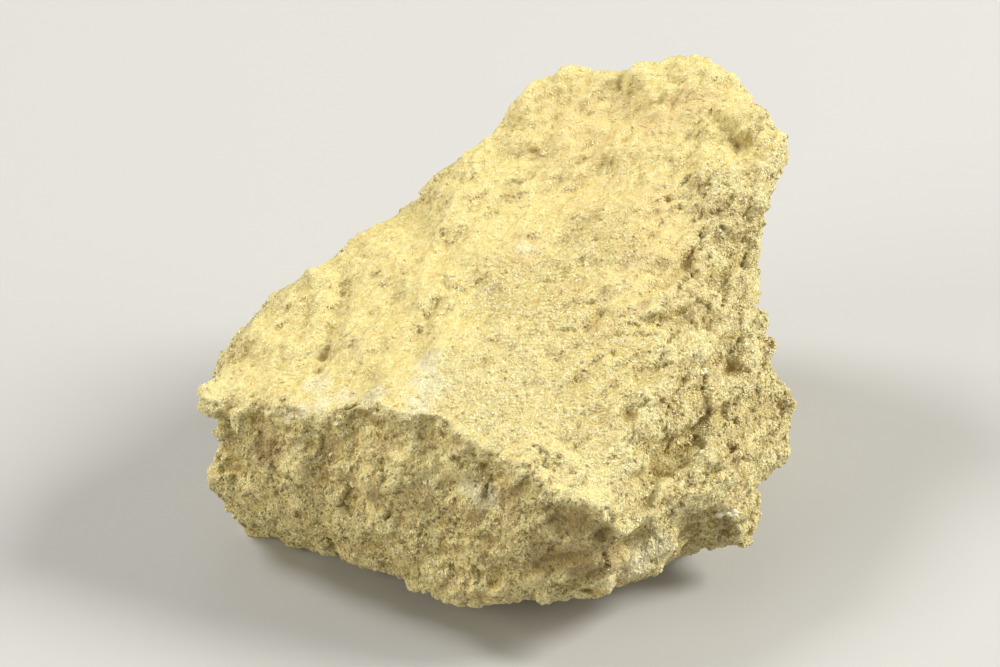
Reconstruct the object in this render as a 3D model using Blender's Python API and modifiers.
"""A rough chunk of native sulfur, broken from a massive bed, about 75 mm long.

It is one natural piece: four broken blocks grown together, a lineated upper face, a reclined front
face under a ragged lip, a trough and stepped ledges down its right flank, and a flat broken patch that
it rests on. Lengths are in millimetres here and turned to metres by MM. +Z is up, +Y points to the
back, +X to the right. The origin ends up under the middle of the chunk, on the plane that it rests on.
"""

import bmesh
import bpy
import numpy as np
from mathutils import Vector, noise

MM = 0.001
NAME = "sulfur_chunk"

WORK_GRID = 0.7  # grid of the working mesh
FINE_GRID = 0.6  # grid after the relief, which clears any fold
TRIANGLES = 9300  # budget of the finished faceted solid
SOFTEN = 7  # passes that round the joints of the blocks
REST_PLANE = 0.0  # height at which the underside is broken off flat
REST_CENTRE = (2.0, 3.0)  # middle of the flat patch
REST_RADIUS = 15.0  # out to here the patch is even, and rougher beyond it

# Corners of the convex blocks.
BODY = {
    "left tip": (-37.4, -9.5, 23.4),
    "front edge": [(-22.4, -14.5, 24.0), (-13.7, -17.5, 27.0), (-6.6, -20.0, 27.6), (-0.8, -23.0, 26.1),
                   (3.4, -26.0, 25.5), (7.6, -28.5, 22.5), (13.2, -30.5, 21.1), (16.8, -31.0, 17.8)],
    "flank rim": [(-29.0, 5.0, 27.7), (-23.5, 8.5, 30.7), (-11.4, 15.5, 34.7), (-6.9, 20.0, 37.5),
                  (0.9, 27.6, 40.2)],
    "upper face": [(0.9, 0.0, 32.0), (13.5, 14.5, 37.4), (25.2, 13.7, 38.3), (19.7, 0.7, 33.0),
                   (14.4, -11.7, 28.2)],
    "front foot": [(-36.4, -10.0, 9.8), (-29.4, -8.7, 0.0), (-22.6, -14.0, 2.8), (-16.6, -19.0, 5.0),
                   (-12.0, -22.4, 5.3), (-6.5, -27.2, 6.0), (-0.3, -31.6, 8.0), (8.1, -31.2, 9.0),
                   (15.5, -28.0, 8.0)],
    "base": [(-31.0, -7.0, -0.7), (-18.0, -9.0, -0.7), (0.0, -16.0, -0.7), (16.0, -14.0, -0.7),
             (12.0, 26.0, -0.7), (-8.0, 24.0, -0.7), (-24.0, 10.0, -0.7)],
    "back": [(-30.0, 11.0, 14.0), (-14.0, 24.0, 24.0), (2.0, 33.0, 22.0)],
}
CROWN = {
    "top rim": [(1.8, 30.5, 42.2), (5.3, 33.0, 43.6), (10.9, 36.0, 45.3), (16.8, 36.5, 44.3),
                (25.9, 35.5, 46.6), (30.0, 33.0, 46.1), (33.9, 29.4, 45.0), (38.7, 22.4, 43.0)],
    "right rim": [(37.6, 20.0, 39.0), (36.2, 16.0, 36.2), (34.6, 12.0, 32.7), (33.6, 6.0, 27.8)],
    "ridge": [(13.5, 14.5, 37.4), (19.7, 0.7, 32.4), (0.9, 27.6, 40.2), (28.4, 24.3, 41.9),
              (25.2, 13.7, 38.3)],
    "back": [(3.0, 37.0, 20.0), (20.0, 39.5, 24.0), (34.0, 30.0, 22.0)],
    "base": [(25.0, -4.0, -0.7), (26.0, 14.0, -0.7), (12.0, 26.0, -0.7), (0.0, 10.0, -0.7)],
}
SHOULDER = {
    "ridge": [(19.7, 0.7, 31.4), (14.4, -11.7, 27.0), (14.6, -25.4, 22.2), (16.8, -30.6, 17.8),
              (33.4, 6.0, 26.5)],
    "right rim": [(35.6, 1.0, 22.2), (37.8, -2.0, 19.9), (38.2, -5.0, 16.6), (37.9, -7.0, 14.5),
                  (35.6, -9.0, 12.3), (33.4, -13.0, 9.7), (31.1, -17.5, 6.8)],
    "brow": [(30.8, -14.4, 20.0), (25.6, -20.4, 19.6), (20.6, -26.6, 18.6)],
    "foot": [(24.7, -20.0, 8.6), (21.1, -24.0, 7.8), (15.5, -28.0, 8.0)],
    "base": [(16.0, -14.0, -0.7), (25.0, -8.0, -0.7), (26.0, 14.0, -0.7), (12.0, 20.0, -0.7),
             (0.0, 0.0, -0.7)],
}
SHELF = {
    "upper face": [(6.0, -6.0, 31.2), (13.5, 14.0, 37.2), (19.7, 0.7, 33.3), (25.2, 13.7, 38.0),
                   (14.0, -18.0, 27.6)],
    "right rim": [(34.2, 9.0, 30.6), (34.8, 4.0, 26.6)],
    "edge": [(15.0, -22.6, 24.6), (19.4, -19.8, 24.6), (24.0, -16.4, 24.6), (28.0, -13.0, 24.6),
             (32.6, -8.2, 24.0)],
    "root": [(12.0, 10.0, 4.0), (12.0, -12.0, 4.0), (24.0, 8.0, 4.0), (22.0, -6.0, 6.0)],
}

# Soft valleys: width, depth, then the line along the bottom.
VALLEYS = {
    "first flute": (3.6, 0.6, [(-19.3, 7.0, 31.1), (-19.9, 1.8, 30.2), (-21.8, -5.0, 29.0),
                               (-23.2, -9.5, 27.0)]),
    "second flute": (4.0, 0.5, [(-23.5, 2.6, 28.9), (-25.4, 0.1, 27.4), (-27.4, -2.4, 25.8)]),
    "third flute": (3.4, 0.5, [(-10.6, 4.8, 31.2), (-12.8, 0.8, 31.5), (-15.4, -3.3, 30.8)]),
    "fourth flute": (3.4, 0.6, [(-5.8, 3.6, 32.9), (-7.5, 1.4, 31.6), (-9.4, -3.4, 30.7),
                                (-10.2, -11.2, 29.6)]),
    "long flute": (4.0, 0.7, [(2.8, 16.5, 37.2), (-0.8, 12.7, 36.3), (-4.1, 10.4, 34.2),
                              (-6.6, 6.1, 33.3)]),
    "upper flute": (3.4, 0.6, [(14.3, 20.4, 39.9), (11.4, 17.7, 38.8), (8.8, 14.7, 38.1)]),
    "left notch": (7.0, 2.9, [(-37.5, -1.0, 17.0), (-36.5, -6.5, 17.8), (-34.0, -11.4, 18.8)]),
    "groove under the lip": (3.6, 0.8, [(-28.6, -14.2, 22.0), (-23.6, -15.6, 21.4),
                                        (-18.6, -17.0, 24.0), (-12.0, -19.6, 25.4)]),
    "undercut of the lip": (3.4, 1.1, [(8.2, -29.0, 19.8), (11.8, -30.0, 18.6), (15.6, -30.8, 17.4)]),
    "recess under the shoulder": (5.0, 1.6, [(15.5, -31.0, 16.2), (20.7, -26.5, 12.6),
                                             (25.5, -22.0, 12.2)]),
}

# Ledges: width of the low side, drop, then the edge, with the low side on its left as seen from outside.
LEDGES = {
    "trough wall": (5.0, 1.5, [(22.0, 2.6, 33.9), (24.6, 8.2, 35.6), (26.0, 13.8, 38.2),
                               (27.4, 19.0, 40.4), (29.0, 23.6, 42.6)]),
    "lower trough wall": (3.6, 1.2, [(15.4, -3.2, 32.4), (19.0, -0.6, 33.2), (23.6, 3.2, 33.0)]),
    "long step": (4.0, 1.0, [(23.6, -4.6, 27.0), (26.0, 0.9, 28.6), (29.6, 5.8, 31.0), (33.8, 9.6, 32.2)]),
    "foot of the shelf": (3.0, 0.8, [(20.6, -16.8, 21.4), (24.2, -13.5, 21.7), (27.9, -9.6, 22.2)]),
    "low ledge": (3.4, 0.9, [(24.8, -18.2, 18.6), (28.6, -13.2, 20.0), (32.4, -9.4, 20.2)]),
    "middle step": (3.4, 0.8, [(5.6, -11.4, 30.4), (8.6, -9.0, 31.0), (12.6, -4.6, 32.0)]),
    "small step": (3.0, 0.6, [(11.4, -15.6, 28.8), (14.2, -14.0, 28.6), (17.4, -12.6, 28.0)]),
    "front crest": (4.5, 0.9, [(-13.6, -19.6, 23.4), (-8.6, -22.4, 21.9), (-6.2, -23.9, 19.8),
                               (-0.9, -27.8, 18.8)]),
    "lower front crest": (4.0, 0.8, [(-25.0, -16.6, 17.4), (-21.9, -18.7, 16.8), (-14.5, -24.2, 15.2)]),
    "right front band": (4.0, 0.9, [(0.9, -31.2, 10.8), (8.0, -31.6, 13.4), (14.0, -31.2, 15.2),
                                    (19.0, -28.0, 14.4)]),
}
LEDGE_RISER = (-0.3, 1.3)  # the drop runs from here to here across the edge
LEDGE_END = 2.0  # a ledge fades out past its ends over this length
LEDGE_BROW = (0.18, -1.2, 1.6)  # a raised brow: share of the drop, place before the edge, width

# Round forms: radius, height (a hollow where it is negative), centre.
MOUNDS = {
    "hollow at the top of the trough": (4.6, -1.9, (31.2, 21.6, 41.2)),
    "hollow in the middle of the trough": (3.6, -1.0, (27.6, 9.0, 35.6)),
    "right hollow": (4.0, -1.2, (30.2, -3.4, 25.4)),
    "hollow in the face": (3.6, -0.8, (8.6, -10.6, 30.2)),
    "first top pit": (2.8, -1.0, (11.6, 27.9, 42.3)),
    "second top pit": (3.0, -0.8, (7.4, 25.9, 41.1)),
    "third top pit": (3.0, -0.8, (5.7, 21.5, 38.8)),
    "notch of the lip": (3.0, -1.6, (-16.4, -17.0, 25.8)),
    "deep pit": (3.0, -1.3, (24.4, -22.2, 13.0)),
    "dip of the top rim": (3.6, -0.6, (16.6, 36.2, 44.6)),
    "first knob of the top rim": (4.5, 1.8, (10.6, 35.0, 45.2)),
    "second knob of the top rim": (5.5, 0.8, (26.0, 35.5, 46.6)),
    "left corner of the crown": (4.5, 0.7, (5.3, 32.5, 43.2)),
    "chip of the crown": (4.5, -0.7, (36.2, 26.2, 43.8)),
    "waist of the right rim": (4.5, -1.2, (37.2, 16.0, 36.0)),
    "dip of the left rim": (6.5, -2.8, (-10.8, 16.4, 35.0)),
    "chip beside the tip": (4.5, -1.4, (-32.6, -4.6, 24.8)),
    "nose of the right rim": (3.4, 1.2, (35.6, 2.0, 23.2)),
    "notch of the right rim": (2.6, -0.8, (36.2, 0.2, 21.8)),
    "ear of the right rim": (3.2, 0.9, (37.8, -3.0, 18.8)),
    "bulge of the right rim": (4.5, 0.5, (38.2, -6.0, 15.5)),
    "chip of the right rim": (3.5, -1.8, (34.8, -12.5, 11.0)),
    "chip under the right rim": (6.5, -4.6, (26.4, -21.0, 8.6)),
    "lump under the front": (4.5, 1.1, (13.0, -29.4, 8.0)),
    "tip": (4.5, 0.8, (-35.6, -10.0, 22.0)),
    "left lobe": (4.5, 0.6, (-35.8, -9.5, 9.5)),
    "lump under the lip": (4.5, 0.8, (-23.6, -17.4, 18.4)),
    "lump of the front": (5.0, 0.7, (-14.0, -21.5, 19.0)),
}
MOUND_SPREAD = 0.6  # share of a mound's radius at which it has lost about two thirds of its height

LINEATION = Vector((0.66, 0.68, 0.31)).normalized()  # grain of the break, up to the right and the back

# Rough relief: height, size of a form, how far the lineation draws it out, and a seed.
WARPS = [(0.9, 9.0, 17.3), (0.8, 4.0, 29.9)]  # sideways shift, size, seed: no edge stays straight
SWELLS = [(0.9, 15.0, 1.7, 4.2), (0.8, 6.5, 2.2, 11.6)]
STEPS = (1.1, 7.5, 2.8, 3.0)
TREADS = 3.0  # treads that a step's height is cut in
RISER = (0.35, 0.75)  # part of a tread that its riser takes
LEVELLING = 0.4  # share of the slow noise that is taken back under the treads
LUMPS = [(1.1, 4.6, 1.6, 21.7), (0.8, 2.7, 1.3, 33.1)]
LUMP_MEAN = 0.45  # mean distance to a lump's centre, in sizes of a lump

CALM_TOP = 0.3  # share of the rough relief that the smooth upper face keeps
CALM_FRONT = 0.65  # and the front face
CALM_EDGE = 0.4  # and the edge of the resting patch
FACING_UP = (0.75, 0.93)  # upward part of a normal that counts as the upper face, none to all
FACING_FRONT = (0.45, 0.8)
FACING_DOWN = (0.8, 0.95)
RIGHT_FLANK = (8.0, 22.0)  # across here the upper face turns into the rough right flank
NEAR_GROUND = (0.5, 3.0)


def clear_scene():
    for obj in list(bpy.data.objects):
        bpy.data.objects.remove(obj)


def corners_of(block):
    """Every corner of a block, its single corners and its lists of corners alike."""
    found = []
    for value in block.values():
        found += value if isinstance(value, list) else [value]
    return found


def hull(name, corners, collection):
    """The convex block that its corners span."""
    mesh = bpy.data.meshes.new(name)
    bm = bmesh.new()
    for corner in corners:
        bm.verts.new(Vector(corner) * MM)
    made = bmesh.ops.convex_hull(bm, input=bm.verts)
    spare = made["geom_interior"] + made["geom_unused"]
    inner = {e for e in spare if isinstance(e, bmesh.types.BMVert)}
    bmesh.ops.delete(bm, geom=list(inner), context="VERTS")
    bmesh.ops.recalc_face_normals(bm, faces=bm.faces)
    bm.to_mesh(mesh)
    bm.free()
    obj = bpy.data.objects.new(name, mesh)
    collection.objects.link(obj)
    return obj


def add_remesh(obj, grid):
    remesh = obj.modifiers.new("grid", "REMESH")
    remesh.mode = "VOXEL"
    remesh.voxel_size = grid * MM


def evaluated_mesh(obj):
    graph = bpy.context.evaluated_depsgraph_get()
    return bpy.data.meshes.new_from_object(obj.evaluated_get(graph))


def block_mass(collection, cutters):
    """The blocks as one mesh of even grid, with its joints rounded."""
    body = hull("body", corners_of(BODY), collection)
    for name, block in (("crown", CROWN), ("shoulder", SHOULDER), ("shelf", SHELF)):
        other = hull(name, corners_of(block), cutters)
        other.hide_render = True
        other.display_type = "WIRE"
        union = body.modifiers.new(name, "BOOLEAN")
        union.operation = "UNION"
        union.object = other
    add_remesh(body, WORK_GRID)
    soften = body.modifiers.new("worn edges", "SMOOTH")
    soften.factor = 0.5
    soften.iterations = SOFTEN
    mesh = evaluated_mesh(body)
    for obj in [body] + list(cutters.objects):
        bpy.data.objects.remove(obj)
    return mesh


def read(mesh, what):
    """The positions ("co") or normals ("normal") of a mesh's corners, one row each."""
    values = np.empty(len(mesh.vertices) * 3, np.float32)
    mesh.vertices.foreach_get(what, values)
    return values.reshape(-1, 3).astype(float)


def write(mesh, points):
    mesh.vertices.foreach_set("co", points.astype(np.float32).ravel())
    mesh.update()


def push(mesh, height):
    """Moves each corner along its normal by its height in millimetres."""
    write(mesh, read(mesh, "co") + read(mesh, "normal") * (height * MM)[:, None])


def smooth_step(value, low, high):
    t = np.clip((value - low) / (high - low), 0, 1)
    return t * t * (3 - 2 * t)


def bump(distance, spread):
    return np.exp(-(distance / spread) ** 2)


def stretched(points, size, stretch, seed):
    """Points in units of a form's size, drawn out along the lineation."""
    along = np.array(LINEATION)
    scaled = points / size
    return scaled - np.outer(scaled @ along, along) * (1 - 1 / stretch) + seed


def fractal(points):
    return np.array([noise.fractal(Vector(p), 1.0, 2.0, 2) for p in points])


def warp(mesh):
    """Shifts the corners every way by a slow noise, so that no edge of a block stays straight."""
    points = read(mesh, "co") / MM
    loose = 1 - resting(points, read(mesh, "normal"))
    shift = np.zeros_like(points)
    for amount, size, seed in WARPS:
        for axis in range(3):
            field = points / size + seed * (axis + 1)
            shift[:, axis] += amount * np.array([noise.noise(Vector(p)) for p in field])
    write(mesh, (points + shift * loose[:, None]) * MM)


def swells(points):
    return sum(height * fractal(stretched(points, *form)) for height, *form in SWELLS)


def steps(points):
    """Treads and risers: a slow noise cut in terraces."""
    height, *form = STEPS
    level = fractal(stretched(points, *form)) * TREADS
    tread = np.floor(level)
    terrace = tread + smooth_step(level - tread, *RISER)
    return height / TREADS * (terrace - LEVELLING * level)


def lumps(points):
    """Rounded domes with creases between them."""
    total = np.zeros(len(points))
    for height, *form in LUMPS:
        nearest = [noise.voronoi(Vector(p))[0][0] for p in stretched(points, *form)]
        total += height * (LUMP_MEAN - np.array(nearest))
    return total


def line_distance(points, normals, line):
    """Distance to a line, and how far to its left a point lies as seen from outside."""
    best = np.full(len(points), np.inf)
    side = np.zeros(len(points))
    for start, end in zip(line[:-1], line[1:]):
        a, b = np.array(start), np.array(end)
        run = b - a
        t = np.clip((points - a) @ run / (run @ run), 0, 1)
        offset = points - (a + np.outer(t, run))
        distance = np.linalg.norm(offset, axis=1)
        left = np.cross(normals, run / np.linalg.norm(run))
        nearer = distance < best
        best = np.where(nearer, distance, best)
        side = np.where(nearer, np.einsum("ij,ij->i", offset, left), side)
    return best, side


def valleys(points, normals):
    total = np.zeros(len(points))
    for width, depth, line in VALLEYS.values():
        distance = line_distance(points, normals, line)[0]
        total -= depth * bump(distance, width / 2)
    return total


def ledges(points, normals):
    """A sharp drop along each edge, which the ground makes up again over the ledge's width."""
    share, place, spread = LEDGE_BROW
    total = np.zeros(len(points))
    for width, drop, line in LEDGES.values():
        distance, side = line_distance(points, normals, line)
        beyond = np.sqrt(np.maximum(distance ** 2 - side ** 2, 0))
        riser = smooth_step(side, *LEDGE_RISER)
        made_up = smooth_step(side, LEDGE_RISER[1], width)
        brow = share * bump(side - place, spread)
        total += drop * bump(beyond, LEDGE_END) * (brow - riser * (1 - made_up))
    return total


def mounds(points):
    total = np.zeros(len(points))
    for radius, height, centre in MOUNDS.values():
        distance = np.linalg.norm(points - np.array(centre), axis=1)
        total += height * bump(distance, MOUND_SPREAD * radius)
    return total


def resting(points, normals):
    """One on the middle of the underside, which stays even, and nothing elsewhere."""
    down = smooth_step(-normals[:, 2], *FACING_DOWN) * (1 - smooth_step(points[:, 2], *NEAR_GROUND))
    out = np.linalg.norm(points[:, :2] - np.array(REST_CENTRE), axis=1)
    return down * (1 - (1 - CALM_EDGE) * smooth_step(out, REST_RADIUS, 1.4 * REST_RADIUS))


def roughness_of(points, normals):
    """How much rough relief each place takes: less on the upper face and the front, none at rest."""
    top = smooth_step(normals[:, 2], *FACING_UP) * (1 - smooth_step(points[:, 0], *RIGHT_FLANK))
    front = smooth_step(-normals[:, 1], *FACING_FRONT)
    kept = (1 - (1 - CALM_TOP) * top) * (1 - (1 - CALM_FRONT) * front)
    return kept * (1 - resting(points, normals))


def carve(mesh):
    """The relief: first the slow rough forms, then the named ones, then the lumps."""
    warp(mesh)
    points, normals = read(mesh, "co") / MM, read(mesh, "normal")
    rough = roughness_of(points, normals)
    push(mesh, rough * (swells(points) + steps(points)))
    normals = read(mesh, "normal")
    push(mesh, valleys(points, normals) + mounds(points) + ledges(points, normals))
    push(mesh, rough * lumps(points))


def simplify(mesh, collection):
    """The carved mesh on a fine grid, brought down to the budget of triangles."""
    worked = bpy.data.objects.new("worked", mesh)
    collection.objects.link(worked)
    add_remesh(worked, FINE_GRID)
    fine = evaluated_mesh(worked)
    count = sum(len(p.vertices) - 2 for p in fine.polygons)
    decimate = worked.modifiers.new("budget", "DECIMATE")
    decimate.ratio = TRIANGLES / count
    simple = evaluated_mesh(worked)
    bpy.data.objects.remove(worked)
    return simple


def break_flat(mesh):
    """Cuts the underside off at the resting plane and closes it with one flat face."""
    bm = bmesh.new()
    bm.from_mesh(mesh)
    everything = bm.verts[:] + bm.edges[:] + bm.faces[:]
    level = (0, 0, REST_PLANE * MM)
    bmesh.ops.bisect_plane(bm, geom=everything, dist=1e-7, plane_co=level, plane_no=(0, 0, -1),
                           clear_outer=True)
    rim = [e for e in bm.edges if e.is_boundary]
    bmesh.ops.holes_fill(bm, edges=rim)
    bmesh.ops.recalc_face_normals(bm, faces=bm.faces)
    bm.to_mesh(mesh)
    bm.free()


def centre(mesh):
    """Puts the middle of the chunk's box over the origin and its lowest point on the plane."""
    points = read(mesh, "co")
    low, high = points.min(axis=0), points.max(axis=0)
    points -= [(low[0] + high[0]) / 2, (low[1] + high[1]) / 2, low[2]]
    write(mesh, points)


def sulfur():
    """Dull, pale cream-yellow massive sulfur."""
    material = bpy.data.materials.new("massive sulfur")
    material.use_nodes = True
    shader = material.node_tree.nodes["Principled BSDF"]
    shader.inputs["Base Color"].default_value = (0.76, 0.64, 0.27, 1.0)
    shader.inputs["Roughness"].default_value = 0.8
    shader.inputs["Metallic"].default_value = 0.0
    return material


def main():
    clear_scene()
    parts = bpy.data.collections.new("native sulfur")
    cutters = bpy.data.collections.new("cutters")
    for collection in (parts, cutters):
        bpy.context.scene.collection.children.link(collection)
    mass = block_mass(parts, cutters)
    carve(mass)
    mesh = simplify(mass, parts)
    break_flat(mesh)
    centre(mesh)
    mesh.name = NAME
    mesh.materials.append(sulfur())
    mesh.shade_smooth()
    parts.objects.link(bpy.data.objects.new(NAME, mesh))


main()
